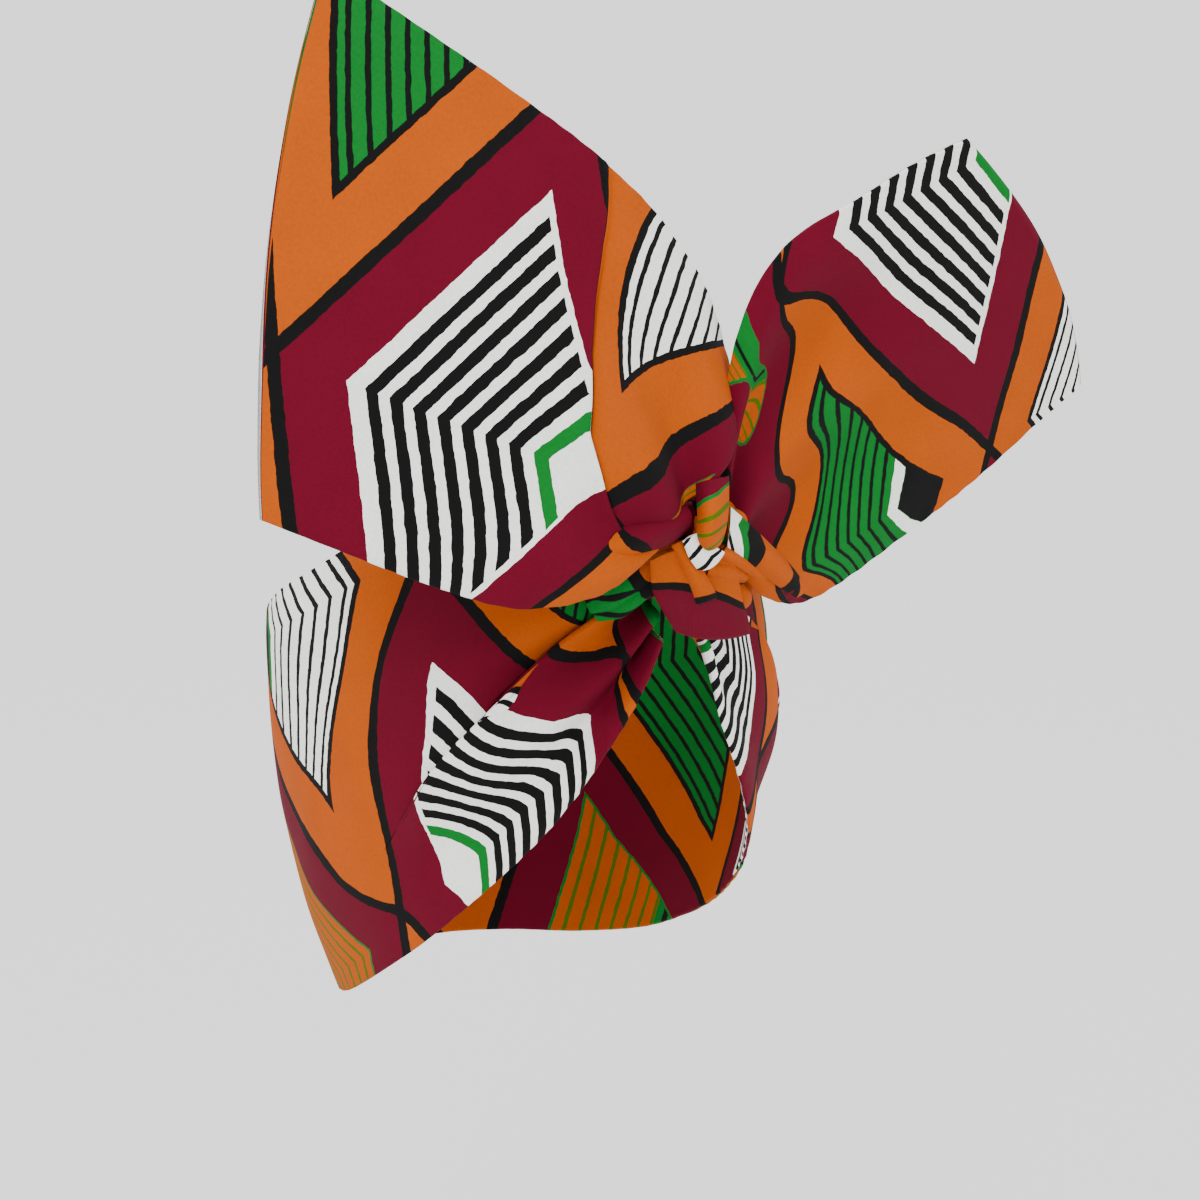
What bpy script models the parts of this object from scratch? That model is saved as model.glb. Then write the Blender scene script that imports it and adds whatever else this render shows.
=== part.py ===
"""Wired head wrap: one long strip of doubled printed cotton, worn round a head.

The strip goes round the head from the nape to the forehead, its two halves hook round each other
in a knot, and the free ends stand up as two ears that the wire in the seam keeps stiff.
Metres, +Z up. The wearer looks along -Y, and +X is the wearer's left.
The origin is the middle of the hollow for the head, at the head's widest level.
"""

import math

import bpy
from mathutils import Vector

CM = 0.01

# The cloth
CLOTH = 0.0018  # two layers of cotton, sewn and turned
GAP = 0.0004  # between two runs of the strip that touch

# The head that the band lies on, measured to the middle of the cloth
HEAD_HALF_WIDTH = 0.081
HEAD_HALF_DEPTH = 0.101
CROWN_HEIGHT = 0.105  # from the widest level to the crown
NAPE_DEPTH = 0.180  # the form narrows below the widest level, and would close this far down

# The band round the head, the same on both sides of the knot
BAND = (
    # degrees from the knot, then in cm: lower edge, upper edge, depth of the pleats
    (5, 1.9, 4.6, 0.42),
    (12, -0.3, 5.6, 0.40),
    (22, -2.7, 6.3, 0.30),
    (38, -5.5, 6.5, 0.14),
    (60, -8.5, 5.4, 0.03),
    (90, -11.2, 3.2, 0.0),
    (120, -12.4, 1.4, 0.0),
    (150, -12.7, 0.8, 0.0),
    (180, -12.7, 0.7, 0.0),
)
BAND_PLEATS = 3.5  # waves across the gathered strip

# The ears, a row for each section across the strip, from the knot to the free end, in cm
EAR_RIGHT = (
    # lower edge, middle of the strip, upper edge, depth of the folds
    ((-2.2, -12.2, 4.9), (-1.8, -12.8, 5.9), (-1.1, -12.9, 7.0), 0.20),
    ((-4.2, -12.7, 4.0), (-2.5, -13.1, 6.5), (0.6, -12.3, 8.1), 0.35),
    ((-6.5, -12.5, 3.8), (-3.8, -13.1, 8.4), (0.9, -11.3, 10.7), 0.25),
    ((-8.3, -11.3, 4.3), (-5.3, -12.4, 10.3), (-0.6, -11.4, 13.3), 0.10),
    ((-10.3, -10.0, 5.2), (-7.6, -11.0, 11.5), (-4.0, -11.2, 16.2), 0.0),
    ((-12.2, -8.5, 6.1), (-11.5, -7.9, 13.5), (-9.7, -7.9, 20.7), 0.0),
)
EAR_LEFT = (
    # lower edge, middle of the strip, upper edge, depth of the folds
    ((1.3, -11.5, 4.3), (1.2, -11.8, 5.2), (1.1, -12.0, 6.0), 0.25),
    ((3.2, -10.6, 3.0), (2.1, -11.4, 6.7), (1.0, -12.3, 10.9), 0.40),
    ((5.6, -9.7, 2.7), (4.2, -11.0, 8.3), (2.1, -12.5, 13.4), 0.35),
    ((8.6, -9.6, 4.0), (7.0, -11.3, 9.9), (4.6, -12.9, 14.9), 0.15),
    ((11.6, -10.0, 5.9), (9.9, -11.8, 11.3), (6.4, -13.1, 15.9), 0.0),
    ((16.0, -10.9, 9.3), (13.0, -12.2, 13.3), (8.2, -13.3, 16.7), 0.0),
)
EAR_FOLDS = 2.5  # waves across an ear where it is gathered

# The two gathered runs in the knot, a row for each place along them, in cm
STRAND_RIGHT = (
    # middle of the run, half thickness
    ((-2.6, -9.9, 3.0), 0.45),
    ((-2.0, -10.2, 3.3), 0.95),
    ((-1.2, -10.8, 3.8), 0.85),
    ((-0.8, -11.8, 4.3), 0.65),
    ((-0.7, -12.7, 4.9), 0.50),
    ((-0.6, -13.0, 5.8), 0.50),
    ((-0.5, -12.9, 6.5), 0.52),
    ((-0.5, -12.8, 7.0), 0.35),
)
STRAND_LEFT = (
    # middle of the run, half thickness
    ((2.6, -9.8, 3.0), 0.45),
    ((2.0, -10.1, 3.4), 0.95),
    ((1.0, -10.3, 4.1), 0.85),
    ((0.0, -10.2, 4.9), 0.75),
    ((-1.0, -10.3, 5.5), 0.70),
    ((-1.7, -11.0, 5.8), 0.66),
    ((-1.2, -11.8, 5.9), 0.60),
    ((-0.2, -11.9, 5.8), 0.60),
    ((0.8, -11.6, 5.5), 0.70),
    ((1.5, -11.3, 5.4), 0.35),
)
STRAND_PLEATS = 5
STRAND_PLEAT_DEPTH = 0.12  # as a share of the half thickness

# Faces along each run, and across or round it
BAND_GRID = (76, 12)
EAR_GRID = (22, 16)
STRAND_GRID = (24, 16)

ORANGE = (0.91, 0.24, 0.005)
BURGUNDY = (0.21, 0.0, 0.03)


def flat(row):
    """A row's numbers in one list, its points spread out."""
    numbers = []
    for value in row:
        numbers.extend(value if isinstance(value, tuple) else (value,))
    return numbers


def between(stops, rows, at):
    """The rows' numbers at a place between their stops, on a smooth curve through all of them."""
    i = max(0, min(len(stops) - 2, sum(stop <= at for stop in stops) - 1))
    span = stops[i + 1] - stops[i]
    t = (at - stops[i]) / span

    def slope(k, column):
        first, last = max(k - 1, 0), min(k + 1, len(stops) - 1)
        return (rows[last][column] - rows[first][column]) / (stops[last] - stops[first])

    values = []
    for column in range(len(rows[0])):
        start, end = rows[i][column], rows[i + 1][column]
        leave, arrive = slope(i, column) * span, slope(i + 1, column) * span
        values.append(
            (2 * t**3 - 3 * t**2 + 1) * start
            + (t**3 - 2 * t**2 + t) * leave
            + (3 * t**2 - 2 * t**3) * end
            + (t**3 - t**2) * arrive
        )
    return values


def head_share(z):
    """How wide the head's form is at a height, as a share of its widest level."""
    reach = CROWN_HEIGHT if z > 0 else NAPE_DEPTH
    return math.sqrt(max(0.0, 1 - (z / reach) ** 2))


def band_point(along, across):
    """A point of the band: along from the knot round the back, left side first, across from the lower edge."""
    first = BAND[0][0]
    turn = first + (360 - 2 * first) * along
    side = 1 if turn <= 180 else -1
    angle = turn if turn <= 180 else 360 - turn
    low, high, pleat = between(
        [row[0] for row in BAND], [row[1:] for row in BAND], angle
    )
    z = (low + (high - low) * across) * CM
    out = pleat * CM * (1 + math.sin(2 * math.pi * BAND_PLEATS * across))
    share = head_share(z)
    turned = math.radians(angle)
    return Vector(
        (
            side * (HEAD_HALF_WIDTH * share + out) * math.sin(turned),
            -(HEAD_HALF_DEPTH * share + out) * math.cos(turned),
            z,
        )
    )


def ear_point(rows, along, across):
    """A point of an ear: along from the knot to the free end, across from the lower edge."""
    stops = range(len(rows))
    numbers = between(list(stops), [flat(row) for row in rows], along * (len(rows) - 1))
    low, middle, high = (Vector(numbers[k : k + 3]) for k in (0, 3, 6))
    bow = middle - (low + high) / 2
    point = low.lerp(high, across) + bow * 4 * across * (1 - across)
    out = Vector((0, -1, 0))
    return (point + out * numbers[9] * math.sin(2 * math.pi * EAR_FOLDS * across)) * CM


def collection_of(name):
    made = bpy.data.collections.new(name)
    bpy.context.scene.collection.children.link(made)
    return made


def cotton(name, colour):
    made = bpy.data.materials.new(name)
    made.use_nodes = True
    shader = made.node_tree.nodes["Principled BSDF"]
    shader.inputs["Base Color"].default_value = (*colour, 1)
    shader.inputs["Roughness"].default_value = 0.85
    shader.inputs["Metallic"].default_value = 0
    return made


def solid_from(name, points, faces, where, material=None):
    mesh = bpy.data.meshes.new(name)
    mesh.from_pydata(points, [], faces)
    mesh.update()
    mesh.shade_smooth()
    made = bpy.data.objects.new(name, mesh)
    if material:
        mesh.materials.append(material)
    where.objects.link(made)
    return made


def grid(columns, rows):
    """The faces of a sheet of points that runs along in columns and across in rows."""
    step = rows + 1
    return [
        (i * step + j, i * step + j + 1, (i + 1) * step + j + 1, (i + 1) * step + j)
        for i in range(columns)
        for j in range(rows)
    ]


def sheet(name, point, faces, where, material):
    """A run of the strip as an open surface, which Solidify gives the cloth's thickness."""
    columns, rows = faces
    points = [
        point(i / columns, j / rows)
        for i in range(columns + 1)
        for j in range(rows + 1)
    ]
    made = solid_from(name, points, grid(columns, rows), where, material)
    wall = made.modifiers.new("Cloth", "SOLIDIFY")
    wall.thickness = CLOTH
    wall.offset = 0
    return made


def strand(name, rows, extra, where, material=None):
    """A gathered run as a pleated rope along its rows, thicker all round by extra."""
    lengths, sides = STRAND_GRID
    stops = list(range(len(rows)))
    table = [flat(row) for row in rows]
    samples = [between(stops, table, k / lengths * stops[-1]) for k in range(lengths + 1)]
    middles = [Vector(sample[:3]) * CM for sample in samples]
    across = Vector((1, 0, 0))
    points = []
    for k, sample in enumerate(samples):
        ahead = middles[min(k + 1, lengths)] - middles[max(k - 1, 0)]
        ahead.normalize()
        across = (across - ahead * across.dot(ahead)).normalized()
        up = ahead.cross(across)
        for side in range(sides):
            turned = 2 * math.pi * side / sides
            pleat = 1 + STRAND_PLEAT_DEPTH * math.cos(STRAND_PLEATS * turned)
            reach = sample[3] * CM * pleat + extra
            points.append(
                middles[k] + (across * math.cos(turned) + up * math.sin(turned)) * reach
            )
    faces = [
        (
            k * sides + side,
            k * sides + (side + 1) % sides,
            (k + 1) * sides + (side + 1) % sides,
            (k + 1) * sides + side,
        )
        for k in range(lengths)
        for side in range(sides)
    ]
    faces.append(tuple(reversed(range(sides))))
    faces.append(tuple(range(lengths * sides, (lengths + 1) * sides)))
    return solid_from(name, points, faces, where, material)


def clear_of(piece, cutter):
    """Takes from a piece what another run fills, with the gap between them."""
    cut = piece.modifiers.new("Clear of " + cutter.name, "BOOLEAN")
    cut.operation = "DIFFERENCE"
    cut.solver = "MANIFOLD"  # the exact solver loses an ear whole
    cut.object = cutter


def hide(cutter):
    cutter.hide_render = True
    cutter.display_type = "WIRE"


def main():
    for old in list(bpy.data.objects):
        bpy.data.objects.remove(old)
    parts = collection_of("Wired head wrap")
    cutters = collection_of("Cutters")
    orange = cotton("Cotton, orange ground", ORANGE)
    burgundy = cotton("Cotton, burgundy ground", BURGUNDY)

    strand("knot_strand_right", STRAND_RIGHT, 0, parts, orange)
    left_strand = strand("knot_strand_left", STRAND_LEFT, 0, parts, burgundy)
    right_room = strand("right_strand_room", STRAND_RIGHT, GAP, cutters)
    left_room = strand("left_strand_room", STRAND_LEFT, GAP, cutters)
    hide(right_room)
    hide(left_room)

    band = sheet("head_band", band_point, BAND_GRID, parts, burgundy)
    ears = [
        sheet(
            name,
            lambda along, across, rows=rows: ear_point(rows, along, across),
            EAR_GRID,
            parts,
            material,
        )
        for name, rows, material in (
            ("ear_right", EAR_RIGHT, burgundy),
            ("ear_left", EAR_LEFT, orange),
        )
    ]

    clear_of(left_strand, right_room)
    for piece in (band, *ears):
        clear_of(piece, right_room)
        clear_of(piece, left_room)


main()
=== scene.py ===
import math

import bpy
import numpy as np
from mathutils import Matrix, Vector, noise


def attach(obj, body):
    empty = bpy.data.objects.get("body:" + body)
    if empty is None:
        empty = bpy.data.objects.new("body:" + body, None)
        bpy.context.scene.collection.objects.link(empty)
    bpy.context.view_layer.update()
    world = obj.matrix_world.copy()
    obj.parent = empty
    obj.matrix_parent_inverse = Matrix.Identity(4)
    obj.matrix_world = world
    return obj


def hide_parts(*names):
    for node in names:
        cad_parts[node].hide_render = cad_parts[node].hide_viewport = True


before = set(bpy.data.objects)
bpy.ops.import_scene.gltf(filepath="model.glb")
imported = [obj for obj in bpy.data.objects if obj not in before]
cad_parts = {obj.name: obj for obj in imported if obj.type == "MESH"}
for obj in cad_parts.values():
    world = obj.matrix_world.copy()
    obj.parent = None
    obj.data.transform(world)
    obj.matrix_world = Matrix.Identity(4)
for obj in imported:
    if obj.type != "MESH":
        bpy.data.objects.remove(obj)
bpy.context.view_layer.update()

cm = 0.01

# the sewn strip: two layers of printed cotton, seamed and turned
strip = {
    "thickness": 0.17 * cm,
    "seamRound": 0.006,  # share of the width over which the edge rounds off
    "edgeStops": (0.0, 0.06, 0.22, 0.5, 0.78),  # where its columns lie, as shares of that
    "puckerStep": 0.9 * cm,  # along the seam
    "puckerDepth": 0.018 * cm,
    "drapeScale": 2.6 * cm,
    "drapeDepth": 0.075 * cm,
    "puckerReach": 0.03,  # share of the width that the puckers reach in from the seam
    "puckerShift": 5.0,  # how far the unevenness puts the puckers out of step
    "endRound": (0.8, 0.45, 0.0),  # thickness towards a free end, as a share
    "backShift": (7.3, 3.1),  # the second layer is cut from another place of the print, in cm
}

# the print, in cm of flat cloth
printSizes = {
    "cellHalfLength": 5.74,  # along the strip
    "cellHalfWidth": 11.35,  # across it
    "innerShare": 0.634,  # the inner lozenge, as a share of its cell
    "latticeLine": 0.185,  # half its width
    "pitch": 0.59,  # from one chevron to the next
    "firstChevron": 0.45,
    "lastChevron": 4.5,
    "wobble": 0.05,  # how far the printed edges waver
    "wobbleScale": 260.0,
    "wobbleDetail": 2.0,
    # the chevrons' widths, and how far their ends stay from the far sides
    "wideLine": 0.32,
    "thinLine": 0.165,
    "greenLine": 0.18,
    "oliveLine": 0.15,
    "endGap": 0.2,
    # bands across the lozenges, from their points
    "greenChevron": (4.62, 5.0),
    "greenChevronGap": 0.1,
    "whiteChevron": (4.5, 4.95),
    "greenCorner": 4.15,
    "blackChevron": (4.6, 4.92),
    "blackCorner": 4.97,
    # lines round the inner lozenges
    "blackRim": 0.23,
    "greenRim": 0.1,
}

colours = {
    "orange": (0.43, 0.071, 0.0),
    "burgundy": (0.115, 0.0, 0.012),
    "black": (0.004, 0.0035, 0.0035),
    "white": (0.92, 0.93, 0.89),
    "green": (0.0, 0.15, 0.017),
    "olive": (0.062, 0.12, 0.0),
}


# the camera stands close, towards the right half and a little above the knot
cameraAt = {"place": (-0.28155, -0.51927, 0.1112), "turn": -31.5, "rise": 9.0, "lens": 51.25}


def makeCamera(spec):
    data = bpy.data.cameras.new("camera")
    data.lens = spec["lens"]
    data.sensor_width = 36
    data.clip_start = 0.02
    made = bpy.data.objects.new("camera", data)
    turn, rise = math.radians(spec["turn"]), math.radians(spec["rise"])
    right = Vector((math.cos(turn), math.sin(turn), 0))
    level = math.cos(rise)
    back = Vector((math.sin(turn) * level, -math.cos(turn) * level, math.sin(rise)))
    up = back.cross(right)
    facing = Matrix((right, up, back)).transposed().to_4x4()
    made.matrix_world = Matrix.Translation(spec["place"]) @ facing
    bpy.context.scene.collection.objects.link(made)
    bpy.context.scene.camera = made


makeCamera(cameraAt)
print("camera set")


def numbersOf(row):
    numbers = []
    for value in row:
        numbers.extend(value if isinstance(value, tuple) else (value,))
    return numbers


def alongRows(rows, stops, at):
    # a smooth curve through the rows, read at many places
    table = np.array([numbersOf(row) for row in rows], float)
    stops = np.asarray(stops, float)
    at = np.asarray(at, float)
    i = np.clip(np.searchsorted(stops, at, side="right") - 1, 0, len(stops) - 2)
    span = stops[i + 1] - stops[i]
    t = ((at - stops[i]) / span)[:, None]

    def slope(k):
        first, last = np.maximum(k - 1, 0), np.minimum(k + 1, len(stops) - 1)
        return (table[last] - table[first]) / (stops[last] - stops[first])[:, None]

    leave, arrive = slope(i) * span[:, None], slope(i + 1) * span[:, None]
    return (
        (2 * t**3 - 3 * t**2 + 1) * table[i]
        + (t**3 - 2 * t**2 + t) * leave
        + (3 * t**2 - 2 * t**3) * table[i + 1]
        + (t**3 - t**2) * arrive
    )


def acrossStops(count, rounding):
    # even columns, with a few more where the seamed edge rounds off
    inner = np.linspace(rounding, 1 - rounding, count)
    edge = rounding * np.array(strip["edgeStops"])
    return np.concatenate([edge, inner, 1 - edge[::-1]])


def smoothstep(t):
    t = np.clip(t, 0, 1)
    return t * t * (3 - 2 * t)


def normalsOf(points):
    along = np.gradient(points, axis=0)
    across = np.gradient(points, axis=1)
    normal = np.cross(along, across)
    length = np.linalg.norm(normal, axis=2, keepdims=True)
    return normal / np.maximum(length, 1e-12)


def drape(points, normal, across, spec):
    # slight unevenness of hand-gathered cloth, and puckers along the seams
    soft = np.array([noise.noise(Vector(p / spec["drapeScale"])) for p in points.reshape(-1, 3)])
    soft = soft.reshape(points.shape[:2])
    run = np.cumsum(np.linalg.norm(np.gradient(points, axis=0), axis=2), axis=0)
    edge = np.minimum(across, 1 - across)[None, :]
    wave = np.sin(2 * math.pi * run / spec["puckerStep"] + spec["puckerShift"] * soft)
    pucker = wave * np.exp(-edge / spec["puckerReach"])
    depth = spec["drapeDepth"] * soft + spec["puckerDepth"] * pucker
    return points + normal * depth[..., None]


def addMap(mesh, uvs):
    layer = mesh.uv_layers.new(name="Cloth")
    corners = np.empty(len(mesh.loops), np.int32)
    mesh.loops.foreach_get("vertex_index", corners)
    layer.data.foreach_set("uv", uvs[corners].astype(np.float32).ravel())


def clothPiece(name, points, cloth, across, material, freeEnd=False, outerLast=False, spec=strip):
    # two layers of cloth round the middle surface, closed at the seams
    normal = normalsOf(points)
    points = drape(points, normal, across, spec)
    columns, rows = points.shape[:2]
    edge = np.minimum(across, 1 - across) / spec["seamRound"]
    half = np.sqrt(np.clip(1 - (1 - np.clip(edge, 0, 1)) ** 2, 0.0, 1))
    half = np.tile(half, (columns, 1))
    if freeEnd:
        half[-3:] *= np.array(spec["endRound"])[:, None]
    half[:, 0] = half[:, -1] = 0
    half = half[..., None] * spec["thickness"] / 2
    front, back = points + normal * half, points - normal * half
    size = columns * rows
    grid = np.arange(size).reshape(columns, rows)
    backGrid = grid + size
    backGrid[:, 0], backGrid[:, -1] = grid[:, 0], grid[:, -1]
    if freeEnd:
        backGrid[-1] = grid[-1]
    a, b, c, d = grid[:-1, :-1], grid[1:, :-1], grid[1:, 1:], grid[:-1, 1:]
    frontFaces = np.stack([a, b, c, d], -1).reshape(-1, 4)
    a, b, c, d = backGrid[:-1, :-1], backGrid[1:, :-1], backGrid[1:, 1:], backGrid[:-1, 1:]
    backFaces = np.stack([d, c, b, a], -1).reshape(-1, 4)
    ends = [np.stack([grid[0, :-1], grid[0, 1:], backGrid[0, 1:], backGrid[0, :-1]], -1)]
    if not freeEnd:
        last, lastBack = grid[-1], backGrid[-1]
        ends.append(np.stack([last[1:], last[:-1], lastBack[:-1], lastBack[1:]], -1))
    faces = np.concatenate([frontFaces, backFaces, *ends])
    places = np.concatenate([front.reshape(-1, 3), back.reshape(-1, 3)])
    sides = [cloth.reshape(-1, 2), cloth.reshape(-1, 2) + np.array(spec["backShift"])]
    uvs = np.concatenate(sides[::-1] if outerLast else sides) * cm
    used, index = np.unique(faces, return_inverse=True)
    index = index.reshape(faces.shape)
    mesh = bpy.data.meshes.new(name)
    loops = []
    for face in index:
        kept = [int(face[k]) for k in range(4) if face[k] != face[(k + 1) % 4]]
        if len(kept) > 2:
            loops.append(kept)
    mesh.from_pydata(places[used], [], loops)
    mesh.validate()
    mesh.shade_smooth()
    addMap(mesh, uvs[used])
    made = bpy.data.objects.new(name, mesh)
    mesh.materials.append(material)
    bpy.context.scene.collection.objects.link(made)
    return made


# the printed cotton
class Nodes:
    def __init__(self, tree):
        self.tree = tree

    def add(self, kind, **values):
        made = self.tree.nodes.new(kind)
        for key, value in values.items():
            setattr(made, key, value)
        return made

    def put(self, socket, value):
        if isinstance(value, bpy.types.NodeSocket):
            self.tree.links.new(value, socket)
        else:
            socket.default_value = value

    def calc(self, operation, a, b=0.0, c=0.0):
        made = self.add("ShaderNodeMath", operation=operation)
        for socket, value in zip(made.inputs, (a, b, c)):
            self.put(socket, value)
        return made.outputs[0]

    def mix(self, share, a, b):
        made = self.add("ShaderNodeMix", data_type="RGBA")
        self.put(made.inputs["Factor"], share)
        colourSockets = [s for s in made.inputs if s.type == "RGBA"]
        for socket, value in zip(colourSockets, (a, b)):
            self.put(socket, (*value, 1) if isinstance(value, tuple) else value)
        return next(s for s in made.outputs if s.type == "RGBA")

    def over(self, value, limit):
        return self.calc("GREATER_THAN", value, limit)

    def under(self, value, limit):
        return self.calc("LESS_THAN", value, limit)

    def both(self, *masks):
        product = masks[0]
        for mask in masks[1:]:
            product = self.calc("MULTIPLY", product, mask)
        return product

    def band(self, value, low, high):
        return self.both(self.over(value, low), self.under(value, high))


def clothPlace(n, sizes):
    # where a point lies on the flat cloth, in cm, with the wavering edge of a wax print
    place = n.add("ShaderNodeUVMap", uv_map="Cloth").outputs["UV"]
    apart = n.add("ShaderNodeSeparateXYZ")
    n.put(apart.inputs[0], place)
    waver = n.add("ShaderNodeTexNoise")
    n.put(waver.inputs["Vector"], place)
    n.put(waver.inputs["Scale"], sizes["wobbleScale"])
    n.put(waver.inputs["Detail"], sizes["wobbleDetail"])
    waverApart = n.add("ShaderNodeSeparateColor")
    n.put(waverApart.inputs[0], waver.outputs["Color"])
    found = []
    for k in range(2):
        fromMiddle = n.calc("SUBTRACT", waverApart.outputs[k], 0.5)
        away = n.calc("MULTIPLY", fromMiddle, sizes["wobble"] * 2)
        found.append(n.calc("ADD", n.calc("MULTIPLY", apart.outputs[k], 1 / cm), away))
    return place, found[0], found[1]


def printColour(n, sizes, tones):
    place, p, q = clothPlace(n, sizes)
    a, b = sizes["cellHalfLength"], sizes["cellHalfWidth"]
    toDistance = 1 / math.hypot(1 / a, 1 / b)
    alongShare = n.calc("MULTIPLY", p, 0.5 / a)
    acrossShare = n.calc("MULTIPLY", q, 0.5 / b)
    i = n.calc("FLOOR", n.calc("ADD", n.calc("ADD", alongShare, acrossShare), 0.5))
    j = n.calc("FLOOR", n.calc("ADD", n.calc("SUBTRACT", alongShare, acrossShare), 0.5))
    cell = n.calc("ADD", i, j)
    x = n.calc("SUBTRACT", n.calc("DIVIDE", p, a), cell)
    y = n.calc("ABSOLUTE", n.calc("SUBTRACT", n.calc("DIVIDE", q, b), n.calc("SUBTRACT", i, j)))
    orangeCell = n.calc("FLOORED_MODULO", cell, 2.0)
    second = n.calc("FLOORED_MODULO", n.calc("FLOOR", n.calc("MULTIPLY", cell, 0.5)), 2.0)
    burgundyCell = n.calc("SUBTRACT", 1.0, orangeCell)
    first = n.calc("SUBTRACT", 1.0, second)
    whiteWide, oliveLined = n.both(burgundyCell, first), n.both(burgundyCell, second)
    whiteThin, greenLined = n.both(orangeCell, first), n.both(orangeCell, second)

    out = n.calc("ADD", n.calc("ABSOLUTE", x), y)
    toLattice = n.calc("MULTIPLY", n.calc("SUBTRACT", 1.0, out), toDistance)
    inside = n.calc("MULTIPLY", n.calc("SUBTRACT", sizes["innerShare"], out), toDistance)
    fromPoint = n.calc(
        "MULTIPLY", n.calc("SUBTRACT", n.calc("ADD", x, sizes["innerShare"]), y), toDistance
    )
    toFarSides = n.calc(
        "MULTIPLY", n.calc("SUBTRACT", n.calc("SUBTRACT", sizes["innerShare"], x), y), toDistance
    )

    # what fills each of the four lozenges
    fill = n.mix(oliveLined, tones["white"], tones["orange"])
    fill = n.mix(greenLined, fill, tones["green"])
    lineTone = n.mix(oliveLined, tones["black"], tones["olive"])
    wide = n.calc("MULTIPLY", whiteWide, sizes["wideLine"])
    thin = n.calc(
        "ADD",
        n.calc("MULTIPLY", oliveLined, sizes["oliveLine"]),
        n.calc("MULTIPLY", whiteThin, sizes["thinLine"]),
    )
    green = n.calc("MULTIPLY", greenLined, sizes["greenLine"])
    lineWidth = n.calc("ADD", n.calc("ADD", wide, thin), green)
    phase = n.calc("SUBTRACT", fromPoint, sizes["firstChevron"])
    inPitch = n.calc("FLOORED_MODULO", phase, sizes["pitch"])
    endGap = n.calc("MULTIPLY", whiteWide, sizes["endGap"])
    lines = n.both(
        n.under(inPitch, lineWidth),
        n.band(fromPoint, sizes["firstChevron"] - 0.01, sizes["lastChevron"]),
        n.over(toFarSides, endGap),
    )
    fill = n.mix(lines, fill, lineTone)

    greenEnds = n.calc("MULTIPLY", whiteWide, sizes["greenChevronGap"])
    greenChevron = n.both(
        n.calc("MAXIMUM", whiteWide, whiteThin), n.band(fromPoint, *sizes["greenChevron"])
    )
    fill = n.mix(n.both(greenChevron, n.over(toFarSides, greenEnds)), fill, tones["green"])
    # each mark: which lozenges have it, where in them, and its colour
    marks = (
        (greenLined, n.band(fromPoint, *sizes["whiteChevron"]), "white"),
        (oliveLined, n.over(fromPoint, sizes["greenCorner"]), "green"),
        (oliveLined, n.band(fromPoint, *sizes["blackChevron"]), "black"),
        (orangeCell, n.over(fromPoint, sizes["blackCorner"]), "black"),
        (orangeCell, n.under(inside, sizes["blackRim"]), "black"),
        (oliveLined, n.under(inside, sizes["greenRim"]), "green"),
    )
    for lozenges, where, tone in marks:
        fill = n.mix(n.both(lozenges, where), fill, tones[tone])

    ground = n.mix(orangeCell, tones["burgundy"], tones["orange"])
    colour = n.mix(n.over(inside, 0.0), ground, fill)
    return place, n.mix(n.under(toLattice, sizes["latticeLine"]), colour, tones["black"])


clothLook = {
    "threadStep": 0.045 * cm,
    "fineScale": 900.0,
    "fineDetail": 3.0,
    "broadScale": 55.0,
    "broadDetail": 4.0,
    # how much each makes the colour lighter and darker
    "fineTint": 0.30,
    "broadTint": 0.22,
    "weaveTint": 0.05,
    "fineHeight": 1.5,  # against the threads
    "bumpStrength": 0.35,
    "bumpDistance": 0.0002,
    "roughness": 0.85,
    "specular": 0.12,
}


def weaveHeight(n, place):
    # plain weave: one thread over, the next under
    apart = n.add("ShaderNodeSeparateXYZ")
    n.put(apart.inputs[0], place)
    threads = 2 * math.pi / clothLook["threadStep"]
    warp = n.calc("SINE", n.calc("MULTIPLY", apart.outputs[0], threads))
    weft = n.calc("SINE", n.calc("MULTIPLY", apart.outputs[1], threads))
    return n.calc("MULTIPLY", warp, weft)


def printedCotton(name):
    made = bpy.data.materials.new(name)
    made.use_nodes = True
    n = Nodes(made.node_tree)
    shader = made.node_tree.nodes["Principled BSDF"]
    place, colour = printColour(n, printSizes, colours)

    look = clothLook
    fine = n.add("ShaderNodeTexNoise")
    n.put(fine.inputs["Vector"], place)
    n.put(fine.inputs["Scale"], look["fineScale"])
    n.put(fine.inputs["Detail"], look["fineDetail"])
    broad = n.add("ShaderNodeTexNoise")
    n.put(broad.inputs["Vector"], place)
    n.put(broad.inputs["Scale"], look["broadScale"])
    n.put(broad.inputs["Detail"], look["broadDetail"])
    weave = weaveHeight(n, place)
    uneven = n.calc(
        "ADD",
        n.calc("MULTIPLY", n.calc("SUBTRACT", fine.outputs["Fac"], 0.5), look["fineTint"]),
        n.calc("MULTIPLY", n.calc("SUBTRACT", broad.outputs["Fac"], 0.5), look["broadTint"]),
    )
    uneven = n.calc("ADD", uneven, n.calc("MULTIPLY", weave, look["weaveTint"]))
    tint = n.add("ShaderNodeHueSaturation")
    n.put(tint.inputs["Value"], n.calc("ADD", 1.0, uneven))
    n.put(tint.inputs["Color"], colour)
    n.put(shader.inputs["Base Color"], tint.outputs["Color"])
    shader.inputs["Roughness"].default_value = look["roughness"]
    shader.inputs["Specular IOR Level"].default_value = look["specular"]

    bump = n.add("ShaderNodeBump")
    n.put(bump.inputs["Strength"], look["bumpStrength"])
    n.put(bump.inputs["Distance"], look["bumpDistance"])
    height = n.calc("ADD", weave, n.calc("MULTIPLY", fine.outputs["Fac"], look["fineHeight"]))
    n.put(bump.inputs["Height"], height)
    n.put(shader.inputs["Normal"], bump.outputs["Normal"])
    return made


cotton = printedCotton("printed cotton")
print("printed cotton made")


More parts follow.
